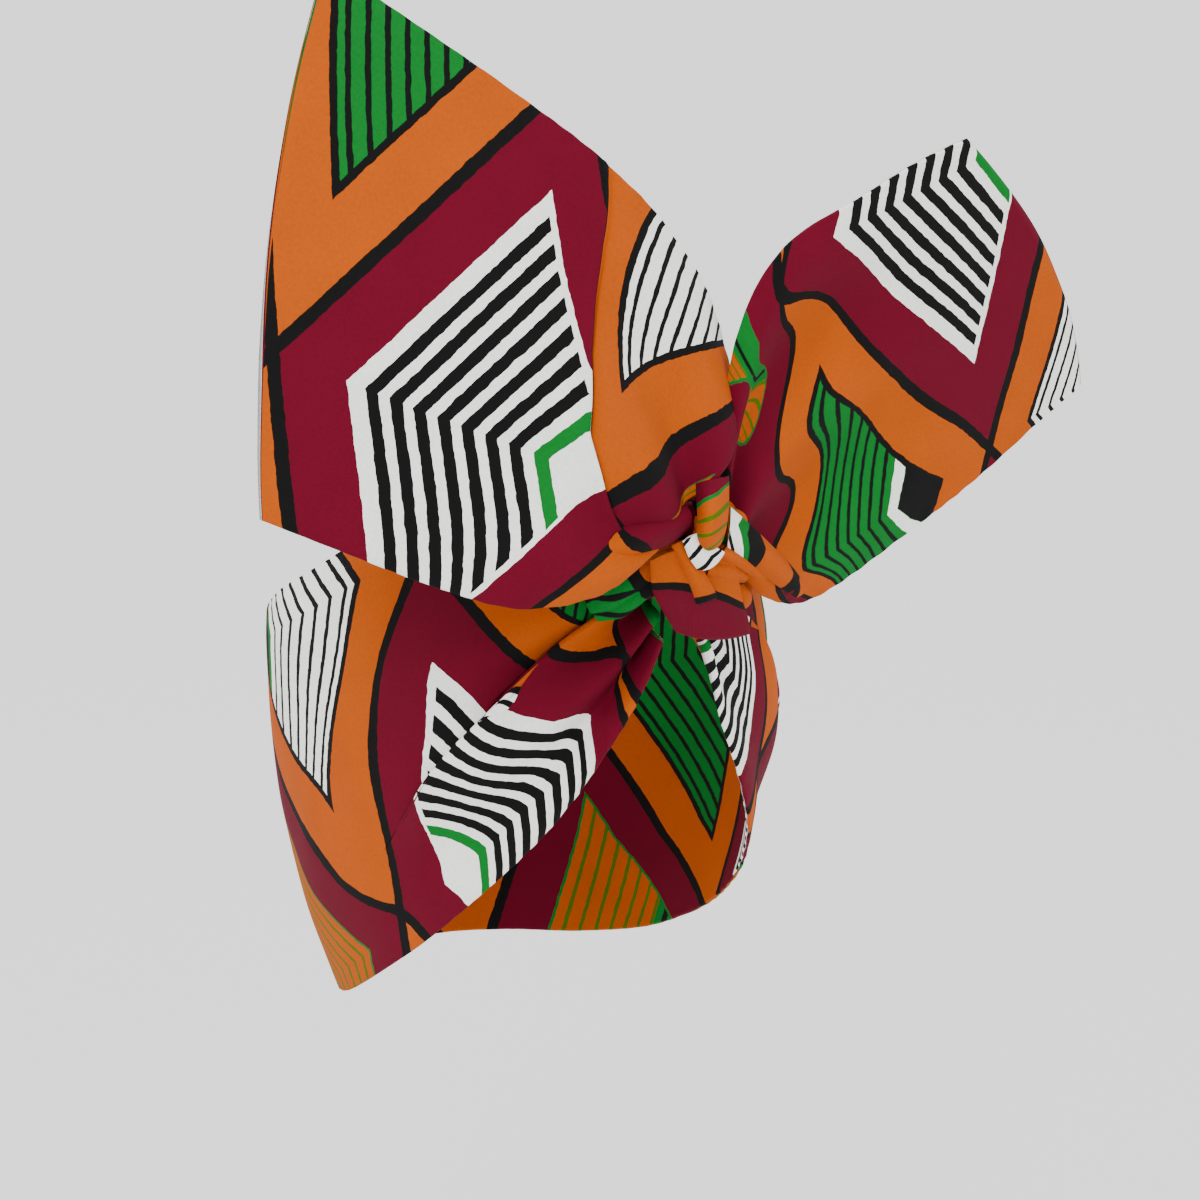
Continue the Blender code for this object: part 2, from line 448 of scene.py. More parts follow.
# the hollow that the band goes round, to the middle of the cloth, in cm
hollow = {"halfWidth": 8.1, "halfDepth": 10.1, "above": 10.5, "below": 18.0}

# the band, the same on both sides of the knot where nothing else is said
band = {
    # degrees from the knot: lower edge, upper edge, depth of the pleats, in cm
    "rows": (
        (5, 1.9, 4.6, 0.42),
        (12, -0.3, 5.6, 0.40),
        (22, -2.7, 6.3, 0.30),
        (38, -5.5, 6.5, 0.14),
        (60, -8.5, 5.4, 0.03),
        (90, -11.2, 3.2, 0.0),
        (120, -12.4, 1.4, 0.0),
        (150, -12.7, 0.8, 0.0),
        (180, -12.7, 0.7, 0.0),
    ),
    "pleats": 3.5,
    "leftDepth": ((5, 1), (14, 0.2), (30, 0.2)),  # share of the pleats' depth left of the knot
    # degrees from the knot: place along the strip at its lower and its upper edge, in cm
    "cloth": (
        (5, -8.5, -10.3),
        (12, -6.0, -8.6),
        (22, -2.7, -6.4),
        (38, 1.2, -2.9),
        (60, 6.1, 0.6),
        (90, 11.0, 4.7),
        (120, 14.6, 9.6),
        (150, 17.4, 14.8),
        (180, 20.0, 20.0),
    ),
    "clothLow": -0.9,
    "clothHigh": 12.6,
    "backPlace": 20.0,  # place along the strip at the middle of the back
    "further": ((5, 0.3), (20, 0.7), (40, 0.6), (90, 0.2), (180, 0.0)),  # left of the knot, in cm
    # the left half lies lower on the print, beginning at the back: degrees, and over how many
    "farSideDrop": 0.8,
    "dropFrom": 200.0,
    "dropOver": 1.5,  # radians
    # the overlapping pleat, degrees from the knot: its edge as a share of the height,
    # the cloth hidden and how far the upper layer has slipped, in cm
    "overlap": (
        (5, 0.62, 1.6, 0.4),
        (12, 0.61, 2.0, 0.6),
        (20, 0.57, 2.3, 1.1),
        (28, 0.53, 2.5, 1.4),
        (38, 0.46, 2.3, 1.4),
        (48, 0.40, 1.4, 0.7),
        (56, 0.33, 0.4, 0.2),
        (66, 0.26, 0.0, 0.0),
        (180, 0.25, 0.0, 0.0),
    ),
    "overlapCloth": 0.30,  # share of the strip below the pleat's edge
    "layerStep": 0.21,  # from one layer of the pleat to the next, in cm
    "fullStepFrom": 1.2,  # cm of cloth hidden
    "foldBack": 1.05,  # how far the hidden layers go back, against their length
    "overlapRise": (0.35, 0.65),  # the lower layer rises from this share on, over this much
    "gathered": ((5, 0.5), (13, 0.5), (18, 0.75), (26, 1)),  # how evenly the lower layer lies
    "printHold": 12,  # how far the print that shows goes on into the pleat
    # more columns where the pleat turns: from and to, as shares past its edge, and how many
    "turnStops": ((-0.004, 0.1, 14), (0.1, 0.2, 12)),
    # where the cloth right of the knot is drawn out of line, each as degrees from the knot,
    # share of the width, and how far along and across, in cm
    "pulls": (
        (13, 0.14, 0.22, -0.95),
        (18, 0.05, 0.20, 0.60),
        (25, 0.07, 0.42, -0.18),
        (40, 0.08, 0.17, -0.19),
        (44, 0.02, 0.52, 0.16),
        (37, 0.30, -0.15, 0.0),
        (53, 0.30, -0.24, 0.12),
        (53, 0.40, -0.82, 0.0),
        (60, 0.13, 0.31, -0.65),
        (30, 0.47, -0.28, 0.0),
        (51, 0.65, -0.49, -0.79),
        (65, 0.55, -0.82, 0.22),
        (61, 0.72, -0.45, 0.14),
        (57, 0.84, -0.13, 0.0),
        (44, 0.76, 0.06, 0.26),
        (79, 0.49, -0.30, -1.21),
    ),
    "pullReach": (11.0, 0.16),
    # the same left of the knot
    "leftPulls": ((30, 0.30, -1.8, 1.7),),
    "leftPullReach": (8.0, 0.09),
    "columns": 300,
    "acrossCount": 84,
}


def hollowShare(z):
    reach = np.where(z > 0, hollow["above"], hollow["below"])
    return np.sqrt(np.clip(1 - (z / reach) ** 2, 0, 1))


def overlapProfile(share, edge, hidden, width, gathered):
    # a Z-fold: up over the layer below, back under, and on; gives height share and lift
    fold = hidden / 2 / width
    low = band["overlapCloth"]
    high = low + 2 * fold
    back = np.minimum(fold * band["foldBack"], edge * 0.5)
    riseFrom, riseOver = band["overlapRise"]
    below = np.clip(share / low, 0, 1)
    middle = np.clip((share - low) / np.maximum(fold, 1e-6), 0, 1)
    upper = np.clip((share - low - fold) / np.maximum(fold, 1e-6), 0, 1)
    above = np.clip((share - high) / (1 - high), 0, 1)
    height = edge * below**gathered - back * smoothstep(middle) + back * smoothstep(upper)
    height = height + (1 - edge) * above
    lift = np.where(share <= low, 2 * smoothstep((below - riseFrom) / riseOver), 0)
    lift = np.where((share > low) & (share <= low + fold), 2 - smoothstep(middle), lift)
    lift = np.where((share > low + fold) & (share <= high), 1 - smoothstep(upper), lift)
    return height, lift, middle


def onCloth(share, hidden, width):
    # the print that shows goes on a little under the pleat, before it turns and after it comes out
    low, hold = band["overlapCloth"], band["printHold"]
    fold = np.maximum(hidden / 2 / width, 1e-6)
    turnedUnder = np.clip((share - low) / fold, 0, 1)
    comingOut = np.clip((share - low - fold) / fold, 0, 1)
    inPleat = low + fold * (turnedUnder**hold + 1 - (1 - comingOut) ** hold)
    return np.where((share > low) & (share < low + 2 * fold), inPleat, share)


def pulled(at, share, pulls, reach):
    # how far the cloth is drawn out of line round a few places
    moved = np.zeros((*share.shape, 2))
    for place, shareAt, along, up in pulls:
        near = np.exp(-(((at - place) / reach[0]) ** 2) - ((share - shareAt) / reach[1]) ** 2)
        moved += near[..., None] * np.array([along, up])
    return moved


def fromTable(table, angle):
    return np.interp(angle, *zip(*table))[:, None]


def bandSurface():
    turn = np.linspace(5, 355, band["columns"])
    angle = np.where(turn <= 180, turn, 360 - turn)
    side = np.where(turn <= 180, 1.0, -1.0)[:, None]
    shape = alongRows([r[1:] for r in band["rows"]], [r[0] for r in band["rows"]], angle)
    cloth = alongRows([r[1:] for r in band["cloth"]], [r[0] for r in band["cloth"]], angle)
    foldStops = [r[0] for r in band["overlap"]]
    overlap = alongRows([r[1:3] for r in band["overlap"]], foldStops, angle)
    across = acrossStops(band["acrossCount"], strip["seamRound"])
    width = band["clothHigh"] - band["clothLow"]
    low = band["overlapCloth"]
    extra = np.concatenate([low + np.linspace(*stops) for stops in band["turnStops"]])
    across = np.unique(np.round(np.concatenate([across, extra]), 6))
    share = np.tile(across, (len(turn), 1))
    hidden = np.clip(overlap[:, 1:2], 0, None)
    gathered = fromTable(band["gathered"], angle)
    height, lift, hiddenShare = overlapProfile(share, overlap[:, 0:1], hidden, width, gathered)
    lift = lift * band["layerStep"] * smoothstep(hidden / band["fullStepFrom"])
    z = shape[:, 0:1] + (shape[:, 1:2] - shape[:, 0:1]) * height
    depth = shape[:, 2:3] * np.where(side > 0, fromTable(band["leftDepth"], angle), 1)
    out = depth * (1 + np.sin(2 * math.pi * band["pleats"] * height)) + lift
    taper = hollowShare(z)
    turned = np.radians(angle)[:, None]
    x = side * (hollow["halfWidth"] * taper + out) * np.sin(turned)
    y = -(hollow["halfDepth"] * taper + out) * np.cos(turned)
    points = np.stack([x, y, z], -1) * cm
    # the strip runs one way round: on past the back to the left half
    far = 2 * band["backPlace"]
    lowRun = np.where(turn <= 180, far - cloth[:, 0], cloth[:, 0])[:, None]
    highRun = np.where(turn <= 180, far - cloth[:, 1], cloth[:, 1])[:, None]
    shown = onCloth(share, hidden, width)
    slip = np.where(side < 0, alongRows([(r[3],) for r in band["overlap"]], foldStops, angle), 0)
    over = np.where(share < low, smoothstep(share / low), 1 - hiddenShare)
    run = lowRun + (highRun - lowRun) * shown
    run = run + fromTable(band["further"], turn) - slip * over
    sinceDrop = np.radians(band["dropFrom"]) - np.radians(turn)
    drop = band["farSideDrop"] * smoothstep(sinceDrop / band["dropOver"])[:, None]
    rise = band["clothLow"] + width * shown - drop
    cloth = np.stack([run, rise], -1)
    right = pulled(angle[:, None], share, band["pulls"], band["pullReach"])
    left = pulled(angle[:, None], share, band["leftPulls"], band["leftPullReach"])
    cloth = cloth + right * (side < 0)[..., None]
    cloth = cloth + left * (side > 0)[..., None]
    return points, cloth, across


points, cloth, across = bandSurface()
bandCloth = clothPiece("bandCloth", points, cloth, across, cotton)
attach(bandCloth, "root")
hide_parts("head_band")
print("band made")


def sheetSurface(spec):
    rows = spec["rows"]
    stops = list(range(len(rows)))
    across = acrossStops(spec["acrossCount"], spec.get("seamRound", strip["seamRound"]))
    columns = np.linspace(0, 1, spec["columns"])[:, None]
    if "crease" in spec:
        at, outer = creasedColumns(spec["crease"], columns, across, len(rows) - 1)
    else:
        at = np.tile(columns * (len(rows) - 1), (1, len(across)))
        outer = np.ones_like(at)
    share = np.tile(across, (at.shape[0], 1))
    n = alongRows(rows, stops, at.ravel()).reshape(*at.shape, 10)
    points = bowed(n, share, 3)
    wave = np.sin(2 * math.pi * spec["folds"] * share)
    points = points + np.array([0, -1, 0]) * (n[..., 9] * wave)[..., None]
    cloth = bowed(alongRows(spec["cloth"], stops, at.ravel()).reshape(*at.shape, 6), share, 2)
    if "crease" in spec:
        inner = alongRows(spec["crease"]["cloth"], stops, at.ravel()).reshape(*at.shape, 6)
        begins = creaseBegins(spec["crease"], share)
        change = ((1 - outer) * begins)[..., None]
        cloth = cloth * (1 - change) + bowed(inner, share, 2) * change
        points = points + creaseLift(spec["crease"], at, share, outer * begins)
    if "gather" in spec:
        gather = spec["gather"]
        near = np.exp(-(((at - gather["at"]) / gather["reach"]) ** 2))
        ripple = np.cos(2 * math.pi * (share - gather["peak"]) / gather["period"])
        cloth[..., 0] -= gather["depth"] * near * ripple
    if "pulls" in spec:
        cloth = cloth + pulled(at, share, spec["pulls"], spec["pullReach"])
    return points * cm, cloth, across


def bowed(n, share, size):
    # from the lower edge over the middle to the upper edge
    low, middle, high = (n[..., k * size : (k + 1) * size] for k in range(3))
    share = share[..., None]
    return low + (high - low) * share + (middle - (low + high) / 2) * 4 * share * (1 - share)


def creasedColumns(spec, columns, across, last):
    # the columns follow the crease, with one close to it on each side
    crease = np.interp(across, *zip(*spec["path"]))[None, :]
    before = columns[columns[:, 0] <= spec["share"]]
    after = columns[columns[:, 0] > spec["share"]]
    before = before / before[-1]
    after = (after - after[0]) / (after[-1] - after[0])
    inner = before * (crease - spec["gap"])
    outer = crease + spec["gap"] + after * (last - crease - spec["gap"])
    return np.concatenate([inner, outer]), np.concatenate([inner * 0, outer * 0 + 1])


def creaseBegins(spec, share):
    start, over = spec["begins"]
    return smoothstep((share - start) / over)


def creaseLift(spec, at, share, outer):
    # the outer side lies over, its folded edge standing a little proud of the inner side
    past = at - np.interp(share, *zip(*spec["path"]))
    over = spec["height"] * np.exp(-np.clip(past, 0, None) / spec["outerReach"]) * outer
    away = np.clip(-past, 0, None) / spec["innerReach"]
    under = spec["bulge"] * away * np.exp(1 - away) * np.where(past < 0, 1, 0)
    under = under * creaseBegins(spec, share)
    return (over + under)[..., None] * np.array(spec["towards"])


earRight = {
    # each section from the knot to the free end: lower edge, middle, upper edge, depth of the folds
    "rows": (
        ((-2.2, -12.2, 4.9), (-1.8, -12.8, 5.9), (-0.5, -12.9, 7.0), 0.20),
        ((-4.2, -12.7, 4.0), (-2.5, -13.1, 6.5), (0.6, -12.3, 8.1), 0.35),
        ((-6.5, -12.5, 3.8), (-3.8, -13.1, 8.4), (0.9, -11.3, 10.7), 0.25),
        ((-8.3, -11.3, 4.3), (-5.3, -12.4, 10.3), (-0.6, -11.4, 13.3), 0.10),
        ((-10.3, -10.0, 5.2), (-7.6, -11.0, 11.5), (-4.0, -11.2, 16.2), 0.0),
        ((-12.2, -8.5, 6.1), (-11.5, -7.9, 13.5), (-9.7, -7.9, 20.7), 0.0),
    ),
    "folds": 2.5,
    # where each section lies on the cloth: lower edge, middle, upper edge
    "cloth": (
        ((8.2, -4.0), (6.6, 0.3), (11.5, 9.7)),
        ((6.0, -4.0), (5.0, 0.8), (9.0, 9.7)),
        ((3.25, -4.0), (3.4, 1.8), (7.5, 9.0)),
        ((0.5, -4.0), (1.33, 2.7), (4.6, 9.0)),
        ((-2.1, -4.1), (-1.6, 2.7), (0.2, 9.0)),
        ((-4.4, -4.3), (-7.0, 2.6), (-8.6, 9.3)),
    ),
    # the crisp fold, where some of the cloth is hidden
    "crease": {
        # share of the width, section
        "path": (
            (0.0, 0.9),
            (0.295, 1.07),
            (0.335, 1.46),
            (0.375, 1.81),
            (0.425, 2.28),
            (0.56, 2.79),
            (0.81, 3.42),
            (1.0, 3.81),
        ),
        # the cloth on the side of the knot
        "cloth": (
            ((8.2, -4.0), (9.6, 1.0), (13.5, 9.6)),
            ((6.0, -4.0), (7.3, 1.4), (12.0, 9.7)),
            ((3.25, -4.0), (6.1, 3.0), (8.4, 9.6)),
            ((0.5, -4.0), (3.3, 4.0), (4.9, 9.3)),
            ((-2.1, -4.1), (0.2, 4.4), (0.2, 9.0)),
            ((-4.4, -4.3), (-5.0, 3.0), (-8.6, 9.3)),
        ),
        "begins": (0.2, 0.12),  # the share of the width it begins at, and over how much
        "gap": 0.012,  # from the crease to the columns beside it, in sections
        "share": 0.45,
        "height": 0.24,
        "outerReach": 0.8,
        "bulge": 0.12,
        "innerReach": 0.35,
        "towards": (-0.52, -0.84, 0.15),
    },
    "outerLast": True,
    "columns": 190,
    "acrossCount": 120,
}
earLeft = {
    "rows": (
        ((1.3, -11.5, 4.3), (1.0, -11.8, 5.2), (0.3, -11.6, 6.2), 0.25),
        ((3.2, -10.6, 3.0), (2.1, -11.4, 6.7), (0.8, -12.1, 10.9), 0.40),
        ((5.6, -9.7, 2.7), (4.2, -11.0, 8.3), (2.1, -12.5, 13.4), 0.35),
        ((8.6, -9.6, 4.0), (7.0, -11.3, 9.9), (4.6, -12.9, 14.9), 0.15),
        ((11.6, -10.0, 5.9), (9.9, -11.8, 11.3), (6.4, -13.1, 15.9), 0.0),
        ((16.0, -10.9, 9.3), (13.0, -12.2, 13.3), (8.2, -13.3, 16.7), 0.0),
    ),
    "folds": 2.5,
    "cloth": (
        ((-15.0, -12.9), (-12.6, -11.6), (-12.2, -14.0)),
        ((-12.8, -12.9), (-10.3, -6.0), (-9.5, 0.7)),
        ((-10.2, -12.9), (-7.2, -5.9), (-5.7, 0.6)),
        ((-4.7, -12.9), (-3.0, -5.7), (-2.4, 0.8)),
        ((-1.5, -12.5), (0.1, -5.5), (-0.4, 0.9)),
        ((5.3, -11.5), (4.1, -5.0), (1.4, 0.75)),
    ),
    "gather": {"depth": 1.2, "period": 0.39, "peak": 0.71, "at": 1.6, "reach": 0.8},
    "pulls": ((0.6, 0.95, 0.0, -2.2),),
    "pullReach": (0.45, 0.45),
    "outerLast": False,
    "columns": 190,
    "acrossCount": 120,
}


def makeEar(name, spec, node):
    points, cloth, across = sheetSurface(spec)
    made = clothPiece(name, points, cloth, across, cotton, True, spec["outerLast"])
    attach(made, "root")
    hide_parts(node)
    print(name, "made")


makeEar("earRightCloth", earRight, "ear_right")
makeEar("earLeftCloth", earLeft, "ear_left")


# the two gathered runs in the knot, as pleated ropes of cloth
strandRight = {
    "rows": (
        ((-2.7, -9.9, 3.1), 0.45),
        ((-2.2, -10.3, 3.5), 0.70),
        ((-1.6, -10.9, 4.1), 0.62),
        ((-1.0, -11.7, 4.7), 0.46),
        ((-0.6, -12.35, 4.95), 0.34),
        ((-0.5, -12.55, 5.8), 0.36),
        ((-0.5, -12.6, 6.5), 0.42),
        ((-0.5, -12.8, 7.0), 0.35),
    ),
    # the cloth at the start of the visible side, how it goes on to the end, and half way round
    "cloth": ((-5.03, -8.36), (3.6, 1.8), (-0.9, 1.8)),
    "pleats": 5,
}
strandLeft = {
    "rows": (
        ((2.6, -9.8, 3.0), 0.45),
        ((2.0, -10.1, 3.4), 0.95),
        ((1.0, -10.3, 4.1), 0.85),
        ((0.0, -10.2, 4.9), 0.75),
        ((-1.0, -10.3, 5.5), 0.70),
        ((-1.7, -11.0, 5.8), 0.66),
        ((-1.2, -11.8, 5.9), 0.60),
        ((-0.2, -11.9, 5.8), 0.60),
        ((0.8, -11.6, 5.5), 0.70),
        ((1.5, -11.3, 5.4), 0.35),
    ),
    "cloth": ((7.3, -6.3), (3.6, 1.8), (-0.9, 1.8)),
    "pleats": 5,
}


# how both ropes are built
rope = {
    "lengths": 90,
    "sides": 120,
    "visible": (-0.5, -0.85, 0.1),  # where the side that shows faces
    "grooveShare": 0.80,  # of the radius, in the grooves between pleats
    "ridgeShare": 0.24,  # and how far the pleats stand out
    "twist": 0.004,  # how far the pleats turn from one ring of points to the next, in radians
}


def ropeSurface(spec):
    lengths, sides = rope["lengths"], rope["sides"]
    last = len(spec["rows"]) - 1
    n = alongRows(spec["rows"], list(range(last + 1)), np.linspace(0, last, lengths))
    middles = n[:, :3] * cm
    across = Vector(rope["visible"])
    points = np.zeros((lengths, sides + 1, 3))
    for k in range(lengths):
        ahead = Vector(middles[min(k + 1, lengths - 1)] - middles[max(k - 1, 0)]).normalized()
        across = (across - ahead * across.dot(ahead)).normalized()
        up = ahead.cross(across)
        for side in range(sides + 1):
            turned = math.pi * (2 * side / sides - 1)
            ridge = abs(math.cos(spec["pleats"] * turned / 2 + rope["twist"] * k))
            reach = n[k, 3] * cm * (rope["grooveShare"] + rope["ridgeShare"] * ridge)
            place = across * math.cos(turned) + up * math.sin(turned)
            points[k, side] = middles[k] + np.array(place) * reach
    start, onward, halfRound = (np.array(value) for value in spec["cloth"])
    run = np.linspace(0, 1, lengths)[:, None, None]
    turn = np.linspace(-1, 1, sides + 1)[None, :, None]
    return points, start + run * onward + turn * halfRound


def ropePiece(name, spec, node):
    points, cloth = ropeSurface(spec)
    lengths, sides = points.shape[0], points.shape[1] - 1
    points = points[:, :sides]
    faces = []
    for k in range(lengths - 1):
        low, high = k * sides, (k + 1) * sides
        for side in range(sides):
            after = (side + 1) % sides
            faces.append((low + side, low + after, high + after, high + side))
    faces.append(tuple(reversed(range(sides))))
    faces.append(tuple(range((lengths - 1) * sides, lengths * sides)))
    mesh = bpy.data.meshes.new(name)
    mesh.from_pydata(points.reshape(-1, 3), [], faces)
    mesh.shade_smooth()
    layer = mesh.uv_layers.new(name="Cloth")
    uvs = []
    for face in faces:
        for corner in face:
            k, side = divmod(corner, sides)
            wraps = side == 0 and len(face) == 4 and max(c % sides for c in face) == sides - 1
            uvs.append(cloth[k, sides if wraps else side] * cm)
    layer.data.foreach_set("uv", np.array(uvs, np.float32).ravel())
    made = bpy.data.objects.new(name, mesh)
    mesh.materials.append(cotton)
    bpy.context.scene.collection.objects.link(made)
    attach(made, "root")
    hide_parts(node)
    print(name, "made")


ropePiece("strandRightCloth", strandRight, "knot_strand_right")
ropePiece("strandLeftCloth", strandLeft, "knot_strand_left")


# the folds that lie on the knot, each a run of the same strip
knotFolds = {
    "tongue": {
        "rows": (
            ((-4.53, -12.6, 4.13), (-4.56, -12.9, 4.82), (-4.3, -12.8, 5.37)),
            ((-3.41, -12.5, 4.58), (-3.66, -13.1, 5.22), (-3.54, -12.9, 5.79)),
            ((-2.56, -12.4, 4.9), (-2.95, -13.2, 5.51), (-2.89, -12.8, 6.02)),
            ((-1.56, -12.4, 5.26), (-2.04, -13.2, 5.81), (-1.97, -12.8, 6.24)),
            ((-1.09, -12.5, 5.63), (-1.37, -13.1, 5.99), (-1.24, -12.7, 6.22)),
        ),
        "cloth": (
            ((5.5, -4.0), (4.9, -2.6), (4.3, -1.2)),
            ((6.7, -4.0), (6.4, -2.2), (6.0, -0.1)),
            ((7.5, -4.0), (7.2, -2.2), (7.0, -0.3)),
            ((9.0, -4.0), (8.6, -2.6), (8.3, -1.4)),
            ((9.4, -3.9), (9.1, -2.8), (8.8, -1.9)),
        ),
        "node": "knot_strand_right",
        "shape": (90, 40),
    },
    "loop": {
        "rows": (
            ((-1.01, -12.8, 6.86), (-0.78, -13.2, 6.97), (0.12, -12.7, 7.03)),
            ((-1.11, -13.0, 6.44), (-1.06, -13.6, 6.54), (-0.09, -13.0, 6.61)),
            ((-1.07, -13.0, 5.88), (-1.12, -13.7, 5.95), (-0.11, -13.0, 5.99)),
            ((-0.99, -12.8, 5.4), (-1.07, -13.5, 5.37), (-0.14, -12.9, 5.47)),
            ((-0.68, -12.5, 5.1), (-0.72, -13.0, 5.01), (-0.12, -12.6, 5.07)),
        ),
        "cloth": (
            ((9.07, -3.85), (9.48, -4.2), (9.93, -4.54)),
            ((9.52, -3.62), (9.93, -3.98), (10.37, -4.31)),
            ((10.01, -3.37), (10.42, -3.73), (10.87, -4.06)),
            ((10.73, -3.01), (11.13, -3.37), (11.58, -3.7)),
            ((11.17, -2.79), (11.58, -3.14), (12.03, -3.48)),
        ),
        "node": "knot_strand_right",
        "shape": (60, 40),
    },
    "roll": {
        "rows": (
            ((0.48, -12.2, 4.87), (0.07, -12.8, 5.56), (0.39, -12.4, 6.11)),
            ((1.24, -11.9, 4.47), (1.0, -12.5, 5.04), (1.25, -12.1, 5.57)),
            ((2.28, -11.5, 3.93), (2.11, -12.1, 4.43), (2.29, -11.7, 4.88)),
            ((3.42, -11.0, 3.35), (3.33, -11.5, 3.73), (3.48, -11.2, 4.08)),
            ((4.24, -10.7, 2.97), (4.31, -10.9, 3.08), (4.5, -10.8, 3.24)),
        ),
        "cloth": (
            ((-16.1, -12.6), (-16.0, -11.7), (-15.9, -10.8)),
            ((-15.2, -12.4), (-15.1, -11.6), (-15.0, -10.8)),
            ((-13.2, -12.4), (-13.0, -11.6), (-12.8, -10.8)),
            ((-12.0, -12.2), (-11.8, -11.6), (-11.6, -11.0)),
            ((-10.9, -11.8), (-10.8, -11.5), (-10.7, -11.2)),
        ),
        "node": "knot_strand_left",
        "shape": (80, 40),
    },
    "narrowFold": {
        "rows": (
            ((0.24, -12.2, 4.69), (0.09, -12.5, 4.87), (0.34, -12.3, 4.98)),
            ((1.39, -11.7, 4.17), (1.31, -12.0, 4.38), (1.46, -11.9, 4.48)),
            ((2.58, -11.2, 3.65), (2.58, -11.4, 3.8), (2.69, -11.3, 3.87)),
        ),
        "cloth": (
            ((-13.3, -11.6), (-13.3, -11.4), (-13.3, -11.2)),
            ((-12.9, -11.6), (-12.9, -11.4), (-12.9, -11.2)),
            ((-12.4, -11.6), (-12.4, -11.4), (-12.4, -11.2)),
        ),
        "node": "knot_strand_left",
        "shape": (60, 24),
        "seamRound": 0.07,
    },
    "whiteFold": {
        "rows": (
            ((-1.47, -12.85, 5.33), (-1.4, -13.05, 5.46), (-0.99, -12.95, 5.54)),
            ((-1.19, -12.75, 4.84), (-1.05, -13.05, 4.95), (-0.5, -12.95, 5.11)),
            ((-0.77, -12.55, 4.44), (-0.56, -12.95, 4.5), (-0.07, -12.85, 4.89)),
        ),
        "cloth": (
            ((-18.9, -11.9), (-18.8, -11.5), (-18.7, -11.1)),
            ((-18.1, -11.9), (-18.0, -11.5), (-17.9, -11.1)),
            ((-17.3, -11.9), (-17.2, -11.5), (-17.1, -11.1)),
        ),
        "node": "knot_strand_left",
        "shape": (50, 30),
    },
    "flap": {
        "rows": (
            ((-1.46, -12.3, 5.13), (-1.5, -12.6, 5.27), (-1.23, -12.5, 5.27)),
            ((-1.01, -12.1, 4.45), (-1.01, -12.5, 4.52), (-0.7, -12.4, 4.57)),
            ((-0.59, -11.9, 3.84), (-0.52, -12.3, 3.92), (-0.11, -12.2, 3.9)),
            ((-0.17, -11.7, 3.23), (-0.06, -12.0, 3.35), (0.36, -11.9, 3.41)),
        ),
        "cloth": (
            ((6.89, -6.15), (7.05, -6.46), (7.21, -6.77)),
            ((7.47, -5.86), (7.63, -6.17), (7.79, -6.48)),
            ((8.0, -5.59), (8.16, -5.9), (8.32, -6.21)),
            ((8.54, -5.32), (8.7, -5.63), (8.86, -5.94)),
        ),
        "node": "knot_strand_left",
        "shape": (60, 24),
        "seamRound": 0.07,
    },
    "innerFold": {
        "rows": (
            ((0.1, -11.4, 3.84), (-0.25, -12.2, 4.26), (-0.04, -12.0, 4.57)),
            ((1.03, -11.2, 3.68), (0.74, -12.0, 4.1), (0.67, -11.8, 4.49)),
            ((1.98, -10.9, 3.63), (1.91, -11.3, 3.87), (1.68, -11.3, 4.19)),
        ),
        "cloth": (
            ((8.29, -4.94), (7.8, -5.19), (7.36, -5.41)),
            ((8.65, -5.65), (8.16, -5.9), (7.72, -6.13)),
            ((8.93, -6.19), (8.43, -6.44), (7.99, -6.66)),
        ),
        "node": "knot_strand_left",
        "shape": (50, 30),
    },
    "farFold": {
        "rows": (
            ((-2.04, -12.0, 4.71), (-0.92, -12.35, 5.01), (0.92, -12.0, 4.44)),
            ((-1.7, -11.6, 3.77), (-0.45, -11.95, 3.78), (1.55, -11.5, 3.26)),
            ((-0.95, -11.1, 2.97), (0.11, -11.5, 2.97), (2.15, -11.0, 2.54)),
            ((-0.26, -10.7, 2.29), (0.84, -11.0, 1.99), (2.46, -10.7, 1.97)),
        ),
        "cloth": (
            ((6.91, -5.64), (7.09, -6.44), (7.41, -7.29)),
            ((8.43, -4.76), (8.61, -5.68), (8.79, -6.81)),
            ((9.1, -4.42), (9.5, -5.22), (9.64, -6.39)),
            ((9.72, -4.11), (10.26, -4.84), (10.44, -5.98)),
        ),
        "node": "knot_strand_left",
        "shape": (60, 40),
    },
}


# the share of the width over which the edge of a fold rounds off, where the fold gives none
foldSeamRound = 0.02


def makeKnotFold(name, spec):
    rows = tuple((*row, 0.0) for row in spec["rows"])
    shape = {"rows": rows, "folds": 0, "cloth": spec["cloth"]}
    shape["seamRound"] = spec.get("seamRound", foldSeamRound)
    shape["columns"], shape["acrossCount"] = spec["shape"]
    points, cloth, across = sheetSurface(shape)
    made = clothPiece(name, points, cloth, across, cotton, True, False, foldCloth)
    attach(made, "root")
    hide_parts(spec["node"])


# the folds are small, so they are smoother than the open cloth
foldCloth = {
    **strip,
    "seamRound": 0.06,
    "thickness": 0.16 * cm,
    "puckerDepth": 0.0,
    "drapeDepth": 0.01 * cm,
}
for name, spec in knotFolds.items():
    makeKnotFold(name, spec)
print("folds of the knot made")


# a pale floor and backdrop, and soft studio light
stage = {
    "floor": -0.42,
    "hub": 0.02,
    "reach": 3.0,
    "bend": 1.5,
    "bendSteps": 16,
    "height": 6.0,
    "sides": 96,
    "tone": (0.3, 0.3, 0.3),
    "roughness": 0.9,
    "glow": 1.1,
}


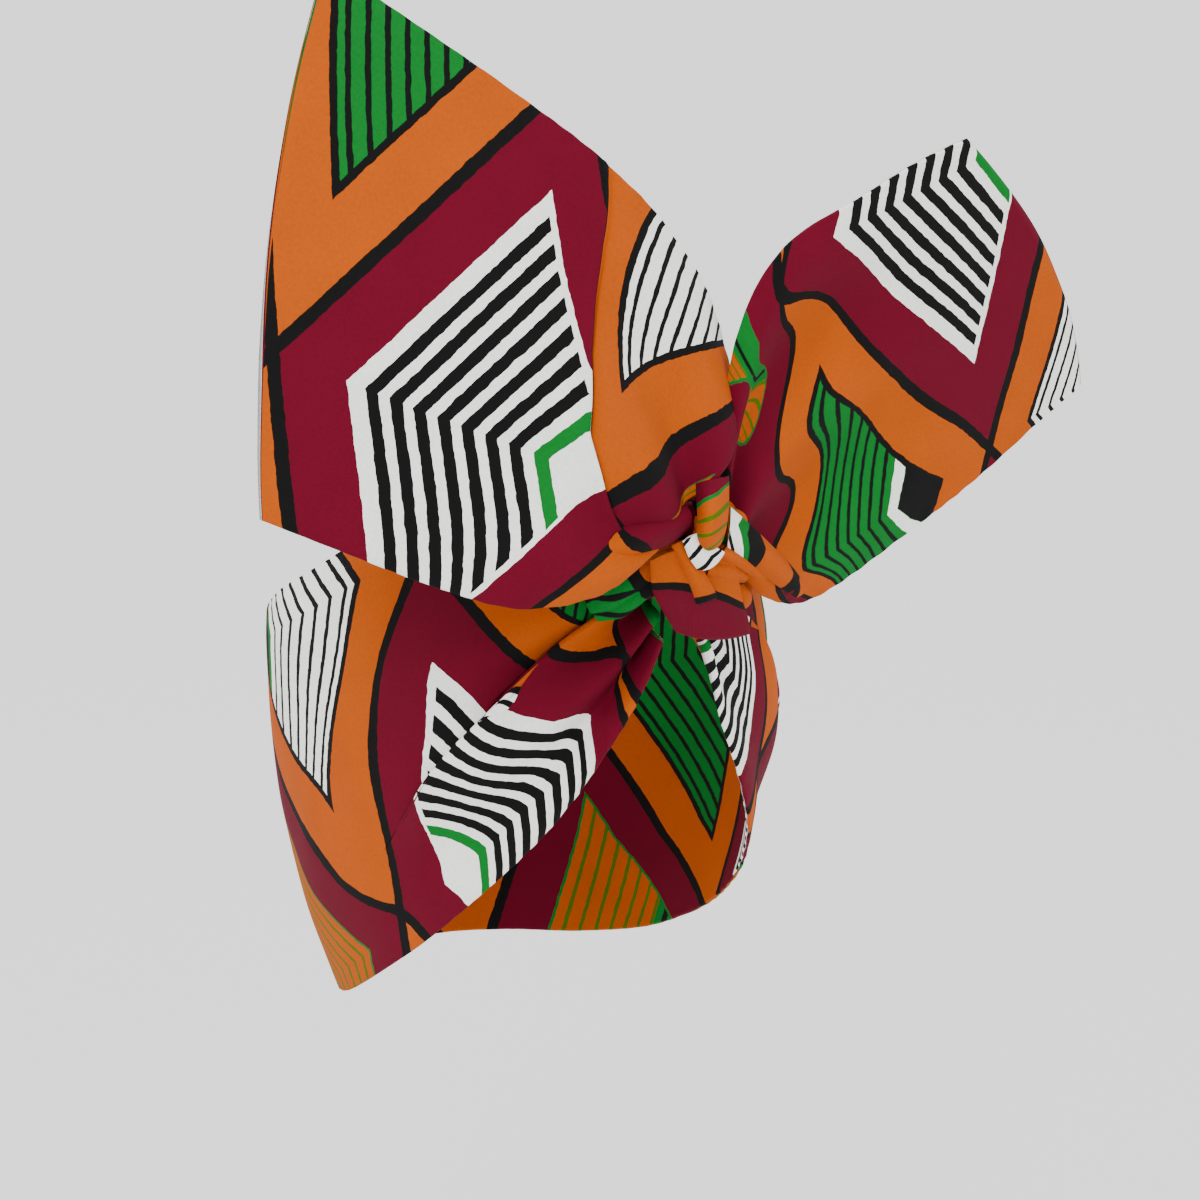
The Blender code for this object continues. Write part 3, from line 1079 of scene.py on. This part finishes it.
def makeStage(spec):
    # a floor that bends up into a wall all round, turned about the middle
    reach, bend, steps = spec["reach"], spec["bend"], spec["bendSteps"]
    profile = [(spec["hub"], 0.0), (reach, 0.0)]
    for k in range(1, steps + 1):
        turned = math.pi / 2 * k / steps
        profile.append((reach + bend * math.sin(turned), bend * (1 - math.cos(turned))))
    profile.append((reach + bend, spec["height"]))
    count = spec["sides"]
    points, faces = [], []
    for out, z in profile:
        for k in range(count):
            turned = 2 * math.pi * k / count
            points.append((out * math.cos(turned), out * math.sin(turned), z + spec["floor"]))
    for row in range(len(profile) - 1):
        for k in range(count):
            after = (k + 1) % count
            low, high = row * count, (row + 1) * count
            faces.append((low + k, high + k, high + after, low + after))
    faces.append(tuple(range(count)))
    mesh = bpy.data.meshes.new("floor")
    mesh.from_pydata(points, [], faces)
    mesh.shade_smooth()
    made = bpy.data.objects.new("floor", mesh)
    material = bpy.data.materials.new("pale floor")
    material.use_nodes = True
    shader = material.node_tree.nodes["Principled BSDF"]
    shader.inputs["Base Color"].default_value = (*spec["tone"], 1)
    shader.inputs["Roughness"].default_value = spec["roughness"]
    shader.inputs["Emission Color"].default_value = (1, 1, 1, 1)
    shader.inputs["Emission Strength"].default_value = spec["glow"]
    mesh.materials.append(material)
    bpy.context.scene.collection.objects.link(made)


lights = (
    {"name": "key", "place": (-1.3, -1.3, 1.5), "size": 1.0, "power": 30},
    {"name": "fill", "place": (1.2, -1.6, 0.5), "size": 1.8, "power": 4},
    {"name": "top", "place": (0.1, 0.4, 1.8), "size": 1.2, "power": 14},
)
lightAim = (0, -0.03, 0.03)
skyStrength = 1.0


def makeLights():
    for spec in lights:
        data = bpy.data.lights.new(spec["name"], "AREA")
        data.size = spec["size"]
        data.energy = spec["power"]
        made = bpy.data.objects.new(spec["name"], data)
        made.location = spec["place"]
        aim = Vector(lightAim) - Vector(spec["place"])
        made.rotation_euler = aim.to_track_quat("-Z", "Y").to_euler()
        bpy.context.scene.collection.objects.link(made)
    world = bpy.data.worlds.new("studio")
    bpy.context.scene.world = world
    world.use_nodes = True
    sky = world.node_tree.nodes["Background"]
    sky.inputs["Color"].default_value = (1, 1, 1, 1)
    sky.inputs["Strength"].default_value = skyStrength


makeStage(stage)
makeLights()
print("stage and lights set")

bpy.context.view_layer.update()
